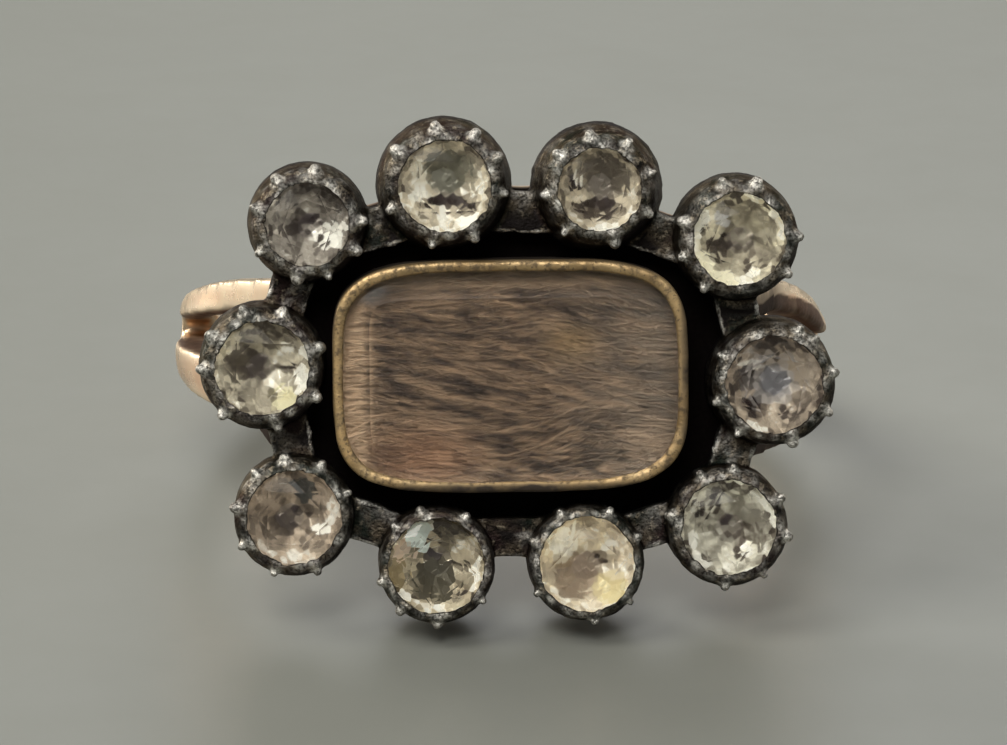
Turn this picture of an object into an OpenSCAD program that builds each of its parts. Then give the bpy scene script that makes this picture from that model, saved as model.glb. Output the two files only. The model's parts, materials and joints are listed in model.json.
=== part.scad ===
// Mourning ring: a hair locket under crystal, framed by ten stones in silver collets,
// on a gold shank with split shoulders. It lies on its side, as it rests by itself.

/* [Shank] */
// Inside radius of the finger hole
finger_r = 8.5; // [8:0.1:9.5]
// Thickness of the shank along its middle line
shank_t = 1.15; // [0.9:0.05:1.4]
// Width of the shank behind the finger
shank_back_w = 2.2; // [1.8:0.1:2.8]
// Width over both shoulder branches where they meet the head
fork_spread = 4.8; // [4.4:0.1:5.6]
// Place where the shank begins to flare, counted from the circle's middle towards the head
flare_start = -1; // [-3:0.5:1]
// Angle by which the shoulders are twisted against the head, which lifts the left one
shoulder_twist = 1.9; // [0:0.1:2.5]
// Width of the upper shoulder branch at the head
upper_branch_w = 0.8; // [0.6:0.05:1]
// Width of the lower, broader shoulder branch at the head
lower_branch_w = 1.9; // [1.2:0.1:2.2]
// Radius of the round crotch between the branches
crotch_r = 0.25; // [0.2:0.01:0.4]
// Place where the shank splits, counted from the circle's middle towards the head
fork_start = -1; // [-3:0.5:1]
// Place of the split along the finger, which is a little above the middle
fork_start_y = 0.42; // [0:0.02:0.6]
// Height of the shank's dome over the outer edges of the shoulders
dome_h = 0.45; // [0.2:0.05:0.5]

/* [Back plate] */
// Thickness of the gold back plate
plate_t = 0.6; // [0.5:0.05:0.8]
// Room between the finger hole and the back plate
plate_clear = 0.4; // [0.3:0.05:0.8]
// How far the back plate's edge stays off a table that the collets' feet touch
plate_off_table = 0.1; // [0.05:0.01:0.2]
// How far the shoulders end inside the outermost stones' middles
shoulder_inset = 0.4; // [0:0.1:1.2]

/* [Collets] */
// Width of a plain collet's foot
foot_w = 3.44; // [3.2:0.02:3.8]
// Height of the straight foot
foot_h = 0.2; // [0.1:0.05:0.4]
// Silver between the foot and the lowest point of the stone
seat_floor = 1.12; // [0.9:0.02:1.3]
// Thickness of a collet's wall around the girdle
collet_wall = 0.3; // [0.22:0.01:0.34]
// How far a collet's rim is rubbed over its stone
rim_lap = 0.08; // [0.05:0.01:0.12]
// Width of a claw's rib
rib_w = 0.24; // [0.18:0.02:0.3]
// How far a rib stands out of its collet at the girdle
rib_out = 0.06; // [0.04:0.01:0.12]
// Radius of the grain at a claw's tip
grain_r = 0.17; // [0.12:0.01:0.2]
// Width of the bars that join neighbouring collets
bar_w = 1.15; // [0.8:0.05:1.3]
// Height of those bars
bar_h = 0.8; // [0.5:0.05:1]
// How far a plain bar lies inside the line between its collets' middles
bar_in = 0.5; // [0.3:0.05:0.6]
// Room between the locket and the feet of the collets above and below it
row_room = 0.28; // [0.24:0.02:0.5]
// Room between the locket and the feet of the collets beside it
side_room = 0.38; // [0.3:0.02:0.6]

/* [Stones] */
// Width of a plain stone
stone_w = 2.8; // [2.5:0.05:3]
// Table width as a share of the stone's width
table_share = 0.56; // [0.5:0.01:0.62]
// Crown height as a share of the stone's width
crown_share = 0.15; // [0.12:0.01:0.18]
// Pavilion depth as a share of the stone's width
pavilion_share = 0.32; // [0.28:0.01:0.38]
// Culet width as a share of the stone's width
culet_share = 0.3; // [0.2:0.01:0.36]
// Thickness of the girdle
girdle_t = 0.08; // [0.06:0.01:0.12]

/* [Locket] */
// Length of the locket over its rim
locket_l = 9.8; // [9:0.1:11]
// Width of the locket over its rim
locket_w = 6.4; // [6:0.1:7]
// How far the locket sits to the left of the shank's middle
locket_left = 0.15; // [0:0.05:0.2]
// Squareness of the locket's outline, where 2 is an ellipse
locket_squareness = 4.2; // [3.5:0.1:5]
// Thickness of the locket's wall
locket_wall = 0.25; // [0.2:0.01:0.3]
// Thickness of the locket's floor
locket_floor = 0.6; // [0.4:0.05:0.7]
// Thickness of the hair panel with its backing
hair_t = 0.6; // [0.4:0.05:0.7]
// Thickness of the crystal's straight lower part
crystal_base_t = 0.75; // [0.6:0.05:0.9]
// Height of the crystal's bevel
bevel_h = 0.4; // [0.3:0.05:0.5]
// Width of the crystal's bevel
bevel_w = 0.6; // [0.4:0.05:0.7]
// How far the locket's rim is rubbed over the bevel
lip_lap = 0.05; // [0.03:0.01:0.1]
// Thickness of that rim
lip_t = 0.13; // [0.1:0.01:0.2]

/* [Fit] */
// Gap between pieces that are cemented or held by a rim
gap = 0.03; // [0.02:0.005:0.04]

/* [Hidden] */
$fn = 96;

// Columns of the stone table. ACROSS and ALONG are shares of head_x and head_y, STONE of
// stone_w, FOOT of foot_w, and BAR of bar_in, for the bar to the next collet.
// TURN is the angle of the stone and CLAWS are the angles of its claws.
ACROSS = 0;
ALONG = 1;
STONE = 2;
FOOT = 3;
BAR = 4;
TURN = 5;
CLAWS = 6;

// One row for each stone, clockwise from the upper left corner
STONES = [
    [-0.81,   0.815, 0.88,  0.98,  1.3,   3, [3, 81, 124, 162, 210, 259, 291, 331]],
    [-0.27,   1.01,  0.965, 1.10,  1.4,  25, [28, 59, 99, 144, 203, 257, 299, 352]],
    [ 0.335,  0.98,  0.88,  1.075, 1.3,  10, [17, 58, 99, 139, 185, 230, 286, 333]],
    [ 0.88,   0.71,  0.965, 1.035, 0.85,  0, [2, 72, 106, 162, 197, 234, 324]],
    [ 1.015, -0.06,  1.015, 1.075, 0.8,  10, [10, 47, 65, 151, 197, 233, 287, 332]],
    [ 0.83,  -0.815, 1,     1.005, 0.85, -12, [28, 84, 118, 168, 266, 306, 350]],
    [ 0.27,  -1,     1,     1,     1.4,  27, [27, 66, 117, 157, 210, 277, 318]],
    [-0.32,  -1,     1,     1,     0.85, 12, [59, 106, 136, 195, 230, 270, 322]],
    [-0.88,  -0.73,  0.985, 0.99,  0.7,  20, [23, 61, 98, 130, 170, 209, 250, 293]],
    [-0.995,  0.06,  0.985, 1.035, 0.2,  19, [19, 69, 107, 147, 180, 229, 284, 331]],
];
last_stone = len(STONES) - 1;
// The ring rests on the foot of this collet and of the one before it
foot_stone = STONES[7];

// Half spans of the head, between the middles of the outermost stones
head_x = locket_l / 2 + side_room + foot_w / 2;
head_y = locket_w / 2 + row_room + foot_w / 2;

function place(s) = [s[ACROSS] * head_x, s[ALONG] * head_y];
function stone_r(s) = s[STONE] * stone_w / 2;
function foot_r(s) = s[FOOT] * foot_w / 2;

// Heights above the circle's middle, towards the face
plate_bottom = finger_r + plate_clear;
plate_top = plate_bottom + plate_t;
head_bottom = plate_top + gap;
girdle_z = head_bottom + seat_floor + pavilion_share * stone_w + girdle_t;
hair_bottom = head_bottom + locket_floor + gap;
crystal_bottom = hair_bottom + hair_t + gap;
crystal_girdle = crystal_bottom + crystal_base_t;
lip_bottom = crystal_girdle + gap + lip_lap * bevel_h / bevel_w;
lip_top = lip_bottom + lip_t;

// Shank
shank_r = finger_r + shank_t;
half_back = shank_back_w / 2;
half_fork = fork_spread / 2;
dome_r = (half_fork * half_fork + dome_h * dome_h) / (2 * dome_h);
dome_mid = shank_r - dome_r;
// The shoulders flare along an arc that runs level at the head
flare_run = plate_bottom - flare_start;
flare_drop = half_fork - half_back;
flare_r = (flare_run * flare_run + flare_drop * flare_drop) / (2 * flare_drop);
// The shoulders run straight from the head and touch this circle of the shank in a tangent
shoulder_x = head_x - shoulder_inset;
shoulder_r = shank_r - 0.7 * dome_h;
shoulder_reach = norm([shoulder_x, plate_bottom]);
shoulder_turn = atan2(shoulder_x, plate_bottom) + acos(shoulder_r / shoulder_reach);
shoulder_foot = [shoulder_r * sin(shoulder_turn), -shoulder_r * cos(shoulder_turn)];

// Resting pose: the lower feet of the collets and the back edge of the shank touch the table
foot_reach = foot_r(foot_stone) - place(foot_stone)[1];
back_edge_r = dome_mid + sqrt(dome_r * dome_r - half_back * half_back);
lean = atan((foot_reach - half_back) / (head_bottom + back_edge_r));
lift = foot_reach * cos(lean) - head_bottom * sin(lean);
plate_inset = plate_off_table + (plate_t + gap) * tan(lean);
// The outer box is centred along Y between a lower stone's table and the shank's back
front_reach = (girdle_z + crown_share * stone_w) * cos(lean)
    + (table_share * stone_r(foot_stone) - place(foot_stone)[1]) * sin(lean);
back_reach = back_edge_r * cos(lean) + half_back * sin(lean);
slide_back = (front_reach - back_reach) / 2;

// Corners and power of the locket's outline, with bowed sides and rounded corners
outline_steps = 64;
outline_power = 2 / locket_squareness;

function bowed(half_length, half_width) = [
    for (i = [0:outline_steps - 1])
        let (a = 360 * i / outline_steps, c = cos(a), s = sin(a))
        [half_length * sign(c) * pow(abs(c), outline_power),
         half_width * sign(s) * pow(abs(s), outline_power)]
];

function spoke(radius, angle, height) = [radius * cos(angle), radius * sin(angle), height];

// Lays the ring on its side. Inside, z is the finger's axis and -y is the face.
module laid_down() {
    translate([0, slide_back, lift]) rotate([-lean, 0, 0]) children();
}

// Inside, z points out of the face and y along the finger
module on_face() {
    laid_down() rotate([90, 0, 0]) children();
}

// The locket's outline, smaller than its rim by inset
module locket_outline(inset) {
    translate([-locket_left, 0])
        polygon(bowed(locket_l / 2 - inset, locket_w / 2 - inset));
}

// Domed section of the shank, turned round the finger
module shank_circle() {
    rotate_extrude() intersection() {
        translate([dome_mid, 0]) circle(dome_r);
        translate([finger_r, -fork_spread]) square([2 * shank_t, 2 * fork_spread]);
    }
}

// Straight shoulders between the circle of the shank and the head
module shoulders() {
    linear_extrude(2 * fork_spread, center = true) difference() {
        polygon([
            [-shoulder_x, -plate_bottom],
            [shoulder_x, -plate_bottom],
            shoulder_foot,
            [-shoulder_foot[0], shoulder_foot[1]],
        ]);
        circle(finger_r);
    }
}

// Turns the shoulders a little about the way that the face looks
module twisted() {
    rotate([0, shoulder_twist, 0]) children();
}

// Extrudes a side view, drawn as distance towards the face and place along the finger
module from_the_side() {
    rotate([90, 0, -90]) linear_extrude(3 * shank_r, center = true) children();
}

// Side form of the shank: an even band round the finger, with shoulders that flare
module side_form() {
    from_the_side() translate([-shank_r, -half_back])
        square([shank_r + plate_bottom, shank_back_w]);
    twisted() from_the_side() intersection() {
        translate([plate_bottom, half_fork - flare_r]) circle(flare_r, $fn = 240);
        translate([plate_bottom, flare_r - half_fork]) circle(flare_r, $fn = 240);
        translate([-shank_r, -half_fork]) square([shank_r + plate_bottom, fork_spread]);
    }
}

// Opening between the two branches of the shoulders
module fork_opening() {
    twisted() from_the_side() union() {
        polygon([
            [fork_start, fork_start_y - crotch_r],
            [plate_bottom + gap, lower_branch_w - half_fork],
            [plate_bottom + gap, half_fork - upper_branch_w],
            [fork_start, fork_start_y + crotch_r],
        ]);
        translate([fork_start, fork_start_y]) circle(crotch_r);
    }
}

// Gold plate behind the head, scalloped along the collets
module back_plate() {
    rotate([90, 0, 0]) translate([0, 0, plate_bottom]) linear_extrude(plate_t) union() {
        for (s = STONES) translate(place(s)) circle(foot_r(s) - plate_inset);
        polygon([for (s = STONES) place(s)]);
    }
}

module shank() {
    color("#c89a7a") laid_down() union() {
        difference() {
            intersection() {
                union() {
                    shank_circle();
                    shoulders();
                }
                side_form();
            }
            fork_opening();
        }
        back_plate();
    }
}

// Collet with a straight foot, a leaning wall and a rim that laps over its stone
module collet(s) {
    r = stone_r(s);
    rotate_extrude() polygon([
        [0, head_bottom],
        [foot_r(s), head_bottom],
        [foot_r(s), head_bottom + foot_h],
        [r + collet_wall, girdle_z - 2 * girdle_t],
        [r + collet_wall / 2, girdle_z + rim_lap],
        [r - rim_lap, girdle_z + 2 * rim_lap],
        [r - rim_lap, girdle_z],
        [0, girdle_z],
    ]);
}

// One claw: a rib that runs up the collet's wall, and the grain at its tip
module claw(s) {
    r = stone_r(s);
    rotate([90, 0, 0]) linear_extrude(rib_w, center = true) polygon([
        [r / 2, head_bottom + foot_h],
        [foot_r(s) - gap, head_bottom + foot_h],
        [r + collet_wall + rib_out, girdle_z - 2 * girdle_t],
        [r + collet_wall / 2, girdle_z + 2 * rim_lap],
        [r, girdle_z + 2 * rim_lap],
    ]);
    translate([r + collet_wall, 0, girdle_z - girdle_t / 2]) sphere(grain_r, $fn = 24);
}

// Room for a stone, as the round body that encloses it
module stone_space(s) {
    r = stone_r(s);
    culet_z = girdle_z - girdle_t - 2 * pavilion_share * r - gap;
    table_z = girdle_z + 2 * crown_share * r + gap;
    rotate_extrude() polygon([
        [0, culet_z],
        [culet_share * r + gap, culet_z],
        [r + gap, girdle_z - girdle_t - gap],
        [r + gap, girdle_z + gap / 2],
        [table_share * r + gap, table_z],
        [0, table_z],
    ]);
}

// A collet with its claws, still full
module full_collet(s) {
    collet(s);
    for (angle = s[CLAWS]) rotate(angle) claw(s);
}

// Bar that joins two neighbouring collets on their inner side, half a foot above the plate
module bar(from, to) {
    run = place(to) - place(from);
    start = stone_r(from) / 2;
    end = norm(run) - stone_r(to) / 2;
    translate(place(from)) rotate(atan2(run[1], run[0]))
        translate([start, -bar_w / 2 - from[BAR] * bar_in, head_bottom + foot_h / 2])
            cube([end - start, bar_w, bar_h]);
}

module collet_cluster() {
    color("#4a463e") on_face() difference() {
        union() {
            for (s = STONES) translate(place(s)) full_collet(s);
            for (i = [0:last_stone]) bar(STONES[i], STONES[(i + 1) % len(STONES)]);
        }
        for (s = STONES) translate(place(s)) stone_space(s);
    }
}

// Open box of the locket, whose rim is rubbed over the crystal's bevel
module locket_case() {
    color("#b8935a") on_face() difference() {
        translate([0, 0, head_bottom]) linear_extrude(lip_top - head_bottom)
            locket_outline(0);
        translate([0, 0, hair_bottom - gap]) linear_extrude(lip_bottom - hair_bottom + gap)
            locket_outline(locket_wall);
        translate([0, 0, lip_bottom - gap]) linear_extrude(lip_t + 2 * gap)
            locket_outline(locket_wall + lip_lap);
    }
}

// Combed hair on its backing, as a plain panel
module hair_panel() {
    color("#7a6048") on_face() translate([0, 0, hair_bottom]) linear_extrude(hair_t)
        locket_outline(locket_wall + gap);
}

// Crystal with a straight lower edge and a bevel round the table
module crystal() {
    base_inset = locket_wall + gap;
    table_inset = base_inset + bevel_w;
    base = bowed(locket_l / 2 - base_inset, locket_w / 2 - base_inset);
    table = bowed(locket_l / 2 - table_inset, locket_w / 2 - table_inset);
    n = outline_steps;
    points = concat(
        [for (p = base) [p[0], p[1], crystal_bottom]],
        [for (p = base) [p[0], p[1], crystal_girdle]],
        [for (p = table) [p[0], p[1], crystal_girdle + bevel_h]]
    );
    faces = concat(
        [[for (i = [0:n - 1]) i]],
        [for (ring = [0, n]) for (i = [0:n - 1])
            [ring + i, ring + n + i, ring + n + (i + 1) % n, ring + (i + 1) % n]],
        [[for (i = [n - 1:-1:0]) 2 * n + i]]
    );
    color("#cdd0d2", 0.35) on_face() translate([-locket_left, 0, 0])
        polyhedron(points, faces);
}

// Brilliant cut with eight-fold symmetry: table, stars, kites, girdle, pavilion and culet
module brilliant(r) {
    half_step = 22.5;
    table_r = table_share * r;
    culet_r = culet_share * r;
    table_z = 2 * crown_share * r;
    culet_z = -girdle_t - 2 * pavilion_share * r;
    // The kites and the pavilion mains are flat when their corners lie at these heights
    star_r = table_r + 0.42 * (r - table_r);
    star_z = table_z * (r - star_r * cos(half_step)) / (r - table_r);
    low_r = culet_r + 0.35 * (r - culet_r);
    low_z = -girdle_t + (culet_z + girdle_t)
        * (r - low_r * cos(half_step)) / (r - culet_r * cos(half_step));
    points = concat(
        [for (i = [0:7]) spoke(table_r, 45 * i, table_z)],
        [for (i = [0:7]) spoke(star_r, 45 * i + half_step, star_z)],
        [for (i = [0:15]) spoke(r, half_step * i, 0)],
        [for (i = [0:15]) spoke(r, half_step * i, -girdle_t)],
        [for (i = [0:7]) spoke(low_r, 45 * i + half_step, low_z)],
        [for (i = [0:7]) spoke(culet_r, 45 * i + half_step, culet_z)]
    );
    // First point of each ring, from the table down
    star = 8;
    upper = 16;
    lower = 32;
    low = 48;
    culet = 56;
    faces = concat(
        [[for (i = [7:-1:0]) i]],
        [for (i = [0:7]) [i, (i + 1) % 8, star + i]],
        [for (i = [0:7]) [i, star + i, upper + 2 * i, star + (i + 7) % 8]],
        [for (i = [0:7]) [star + i, upper + 2 * i + 1, upper + 2 * i]],
        [for (i = [0:7]) [star + i, upper + (2 * i + 2) % 16, upper + 2 * i + 1]],
        [for (i = [0:15]) [upper + i, upper + (i + 1) % 16, lower + (i + 1) % 16, lower + i]],
        [for (i = [0:7]) [low + i, lower + 2 * i, lower + 2 * i + 1]],
        [for (i = [0:7]) [low + i, lower + 2 * i + 1, lower + (2 * i + 2) % 16]],
        [for (i = [0:7])
            [lower + 2 * i, low + i, culet + i, culet + (i + 7) % 8, low + (i + 7) % 8]],
        [[for (i = [0:7]) culet + i]]
    );
    polyhedron(points, faces);
}

module stone(s) {
    color("#b9ada0") on_face() translate(concat(place(s), girdle_z)) rotate(s[TURN])
        brilliant(stone_r(s));
}

shank();
collet_cluster();
locket_case();
hair_panel();
crystal();
for (i = [0:last_stone]) stone(STONES[i]);
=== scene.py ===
import json
import math

import bpy
import numpy as np
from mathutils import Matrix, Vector, noise


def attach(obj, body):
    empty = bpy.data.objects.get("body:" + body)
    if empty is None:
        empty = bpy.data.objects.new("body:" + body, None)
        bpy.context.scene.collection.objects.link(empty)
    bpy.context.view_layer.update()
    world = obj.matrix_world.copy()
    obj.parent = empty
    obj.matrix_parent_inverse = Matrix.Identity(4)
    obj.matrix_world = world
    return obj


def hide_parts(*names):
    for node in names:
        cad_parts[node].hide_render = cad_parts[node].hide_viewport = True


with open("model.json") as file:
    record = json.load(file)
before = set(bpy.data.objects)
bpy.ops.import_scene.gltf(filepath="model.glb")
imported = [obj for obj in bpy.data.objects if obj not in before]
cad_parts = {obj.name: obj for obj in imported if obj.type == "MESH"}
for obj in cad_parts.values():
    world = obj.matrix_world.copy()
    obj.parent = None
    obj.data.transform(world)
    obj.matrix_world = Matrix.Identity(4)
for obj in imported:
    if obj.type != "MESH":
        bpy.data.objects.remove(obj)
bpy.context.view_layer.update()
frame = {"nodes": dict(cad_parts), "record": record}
nodes = frame["nodes"]
random = np.random.default_rng(7)

# Face frame in millimetres: across the face, along the finger and out of the face
PER_METRE = 1000
mount = frame["record"]["mounts"][0]
HOLE_AXIS = np.array(mount["axis"])
AXES = np.array([[1, 0, 0], HOLE_AXIS, np.cross([1, 0, 0], HOLE_AXIS)])
CENTRE = PER_METRE * np.array(mount["pos_m"])

# Clockwise from the upper left stone: the stone's turn and its claws' angles in degrees, and
# how far the wall of its collet is drawn in, in millimetres
COLLETS = [
    (3, [3, 81, 124, 162, 210, 259, 291, 331], 0),
    (25, [28, 59, 99, 144, 203, 257, 299, 352], 0),
    (10, [17, 58, 99, 139, 185, 230, 286, 333], 0),
    (0, [2, 72, 106, 162, 197, 234, 324], 0),
    (10, [10, 47, 65, 151, 197, 233, 287, 332], 0.04),
    (-12, [28, 84, 118, 168, 266, 306, 350], 0.06),
    (27, [27, 66, 117, 157, 210, 277, 318], 0.12),
    (12, [59, 106, 136, 195, 230, 270, 322], 0.12),
    (20, [23, 61, 98, 130, 170, 209, 250, 293], 0.05),
    (19, [19, 69, 107, 147, 180, 229, 284, 331], 0),
]


def to_face(points):
    return (np.asarray(points) * PER_METRE - CENTRE) @ AXES.T


def to_world(points):
    return (np.asarray(points) @ AXES + CENTRE) / PER_METRE


def read_rows(items, field, kind, width):
    """One field of a mesh's vertices or edges, a row for each."""
    flat = np.empty(width * len(items), kind)
    items.foreach_get(field, flat)
    return flat.reshape(-1, width)


def vertices(mesh):
    return read_rows(mesh.vertices, "co", np.float32, 3).astype(float)


def normals(mesh):
    return read_rows(mesh.vertices, "normal", np.float32, 3).astype(float)


def edges_of(mesh):
    return read_rows(mesh.edges, "vertices", np.int32, 2)


def face_box(name):
    points = to_face(vertices(nodes[name].data))
    return points.min(0), points.max(0)


class Stone:
    """Where a stone sits, in the face frame, and the claws of its collet."""

    def __init__(self, number):
        self.name = f"stone_{number + 1}"
        self.low, self.high = face_box(self.name)
        points = to_face(vertices(nodes[self.name].data))
        self.middle = (self.low + self.high)[:2] / 2
        reach = np.hypot(*(points[:, :2] - self.middle).T)
        self.radius = reach.max()
        self.girdle = points[reach > 0.98 * self.radius, 2].max()
        self.turn, self.claws, self.slim = COLLETS[number]


STONES = [Stone(number) for number in range(len(COLLETS))]
CASE_LOW, CASE_HIGH = face_box("locket_case")
HAIR_LOW, HAIR_HIGH = face_box("hair_panel")
GLASS_LOW, GLASS_HIGH = face_box("crystal")


def new_object(name, data):
    made = bpy.data.objects.new(name, data)
    bpy.context.scene.collection.objects.link(made)
    return made


def add_mesh(name, points, faces, smooth=True):
    """A new mesh object from points in the face frame."""
    mesh = bpy.data.meshes.new(name)
    mesh.from_pydata(to_world(points).tolist(), [], faces)
    mesh.update()
    if smooth:
        mesh.shade_smooth()
    return new_object(name, mesh)


def add_piece(piece, node, slot, *materials):
    """Finishes a piece that stands for a CAD node."""
    for material in materials:
        piece.data.materials.append(material)
    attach(piece, "root")
    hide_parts(node)


def give_layer(mesh, name, kind, domain, field, values):
    """Numbers or vectors on a mesh, which a material reads by name."""
    layer = mesh.attributes.new(name, kind, domain)
    layer.data.foreach_set(field, np.asarray(values, np.float32).ravel())


def give_values(mesh, name, values):
    """A number from 0 to 1 for each vertex."""
    give_layer(mesh, name, "FLOAT", "POINT", "value", np.clip(values, 0, 1))


def applied(piece):
    """Puts the result of a piece's modifiers in place of its mesh."""
    graph = bpy.context.evaluated_depsgraph_get()
    mesh = bpy.data.meshes.new_from_object(piece.evaluated_get(graph))
    piece.modifiers.clear()
    piece.data = mesh
    mesh.name = piece.name


# The most triangles of a remeshed piece
MOST_TRIANGLES = 190000


def remeshed(name, node, voxel, smoothing):
    """A copy of a CAD node as one even skin with soft edges, in the face frame in millimetres."""
    piece = new_object(name, nodes[node].data.copy())
    piece.data.materials.clear()
    points = to_face(vertices(piece.data))
    piece.data.vertices.foreach_set("co", points.astype(np.float32).ravel())
    skin = piece.modifiers.new("skin", "REMESH")
    skin.mode = "VOXEL"
    skin.voxel_size = voxel
    soften = piece.modifiers.new("soften", "SMOOTH")
    soften.factor = 0.5
    soften.iterations = smoothing
    applied(piece)
    lighten = piece.modifiers.new("lighten", "DECIMATE")
    lighten.ratio = min(1, MOST_TRIANGLES / (2 * len(piece.data.polygons)))
    applied(piece)
    piece.data.shade_smooth()
    return piece


def place_back(piece, points):
    """Takes a remeshed piece from the face frame back to where it belongs."""
    piece.data.vertices.foreach_set("co", to_world(points).astype(np.float32).ravel())
    piece.data.update()


def average(values, edges, steps):
    """Averages values over neighbouring vertices, as often as steps says."""
    count = np.bincount(edges.ravel(), minlength=len(values))[:, None]
    values = values.reshape(len(values), -1)
    for _ in range(steps):
        total = np.zeros_like(values)
        np.add.at(total, edges[:, 0], values[edges[:, 1]])
        np.add.at(total, edges[:, 1], values[edges[:, 0]])
        values = total / np.maximum(count, 1)
    return values


def bulge(mesh, points, steps, even_steps):
    """How far each vertex stands out of its neighbours along its normal, evened out a little."""
    edges = edges_of(mesh)
    around = average(points, edges, steps)
    return average(((points - around) * normals(mesh)).sum(1), edges, even_steps)[:, 0]


def waves(points, size, seed):
    """Smooth seeded noise from -1 to 1, at a grain of about size millimetres."""
    offset = Vector((17.3 * seed, 5.1 * seed, 9.7 * seed))
    return np.array([noise.noise(Vector(p) / size + offset) for p in points])


def ramp(values, start, length):
    """Rises from nought at start to one, over length, which may be negative."""
    return np.clip((values - start) / length, 0, 1)


def hump(values, middle, width, power=2):
    """One at the middle, falling smoothly to nought over about width on either side."""
    return np.exp(-(np.abs((values - middle) / width) ** power))


# Materials


class Nodes:
    """A short way to write a material's node tree."""

    def __init__(self, name):
        self.material = bpy.data.materials.new(name)
        self.material.use_nodes = True
        self.tree = self.material.node_tree
        self.shader = self.tree.nodes["Principled BSDF"]
        place = self.add("ShaderNodeTexCoord").outputs["Object"]
        scaled = self.add("ShaderNodeVectorMath", {0: place, "Scale": PER_METRE}, operation="SCALE")
        self.place = scaled.outputs[0]

    def add(self, kind, sockets=(), **settings):
        """A new node with its settings, and a value or a link for each socket that is named."""
        made = self.tree.nodes.new(kind)
        for name, value in settings.items():
            setattr(made, name, value)
        for socket, value in dict(sockets).items():
            self.link(value, made.inputs[socket])
        return made

    def link(self, value, socket):
        if isinstance(value, bpy.types.NodeSocket):
            self.tree.links.new(value, socket)
        else:
            socket.default_value = value

    def set(self, **values):
        for name, value in values.items():
            self.link(value, self.shader.inputs[name.replace("_", " ")])

    def grain(self, size, detail=4, roughness=0.55):
        """Noise from 0 to 1 with grains of about size millimetres."""
        sockets = {"Vector": self.place, "Scale": 1 / size, "Detail": detail, "Roughness": roughness}
        return self.add("ShaderNodeTexNoise", sockets).outputs["Fac"]

    def chance(self, voronoi):
        """The random number from 0 to 1 of each cell."""
        return self.add("ShaderNodeSeparateColor", {0: voronoi.outputs["Color"]}).outputs[0]

    def cells(self, size):
        """A random number from 0 to 1 for each cell of about size millimetres."""
        return self.chance(self.add("ShaderNodeTexVoronoi", {"Vector": self.place, "Scale": 1 / size}))

    def patches(self, place, size):
        """Middle and random number of the soft-edged patch round each place."""
        sockets = {"Vector": place, "Scale": 1 / size, "Smoothness": 0.3}
        made = self.add("ShaderNodeTexVoronoi", sockets, voronoi_dimensions="2D", feature="SMOOTH_F1")
        return made.outputs["Position"], self.chance(made)

    def value(self, name, output="Fac"):
        """What give_layer has put on the mesh."""
        return self.add("ShaderNodeAttribute", attribute_name=name).outputs[output]

    def spot(self, place, x, y, width, height):
        """One inside an ellipse and nought outside it."""
        shifted = self.add("ShaderNodeVectorMath", {0: place, 1: (x, y, 0)}, operation="SUBTRACT")
        sockets = {0: shifted.outputs[0], 1: (1 / width, 1 / height, 0)}
        scaled = self.add("ShaderNodeVectorMath", sockets, operation="MULTIPLY")
        length = self.add("ShaderNodeVectorMath", {0: scaled.outputs[0]}, operation="LENGTH")
        return self.range(length.outputs["Value"], 1.15, 0.85)

    def calc(self, operation, a, b, clamp=False):
        return self.add("ShaderNodeMath", {0: a, 1: b}, operation=operation, use_clamp=clamp).outputs[0]

    def times(self, a, b):
        return self.calc("MULTIPLY", a, b)

    def range(self, value, low, high, to_low=0.0, to_high=1.0):
        """Takes low to to_low and high to to_high, and stays between the two."""
        sockets = enumerate((value, low, high, to_low, to_high))
        return self.add("ShaderNodeMapRange", sockets).outputs[0]

    def blend(self, share, a, b):
        """From number a to number b."""
        return self.add("ShaderNodeMix", {0: share, 2: a, 3: b}, data_type="FLOAT").outputs[0]

    def mix(self, share, a, b):
        """From colour a to colour b."""
        a, b = (c if isinstance(c, bpy.types.NodeSocket) else (*c, 1) for c in (a, b))
        return self.add("ShaderNodeMix", {0: share, 6: a, 7: b}, data_type="RGBA").outputs[2]

    def bump(self, height, depth, strength=1.0, under=None):
        """Bump whose full height is depth millimetres, on top of another bump."""
        sockets = {"Height": height, "Distance": depth / PER_METRE, "Strength": strength}
        if under:
            sockets["Normal"] = under
        return self.add("ShaderNodeBump", sockets).outputs[0]

    def lets_lamps_through(self, colour):
        """Glass that takes its colour out of a lamp's light instead of stopping it."""
        clear = self.add("ShaderNodeBsdfTransparent", {"Color": (*colour, 1)}).outputs[0]
        shadow = self.add("ShaderNodeLightPath").outputs["Is Shadow Ray"]
        both = self.add("ShaderNodeMixShader", {0: shadow, 1: self.shader.outputs[0], 2: clear})
        self.link(both.outputs[0], self.tree.nodes["Material Output"].inputs["Surface"])


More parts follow.
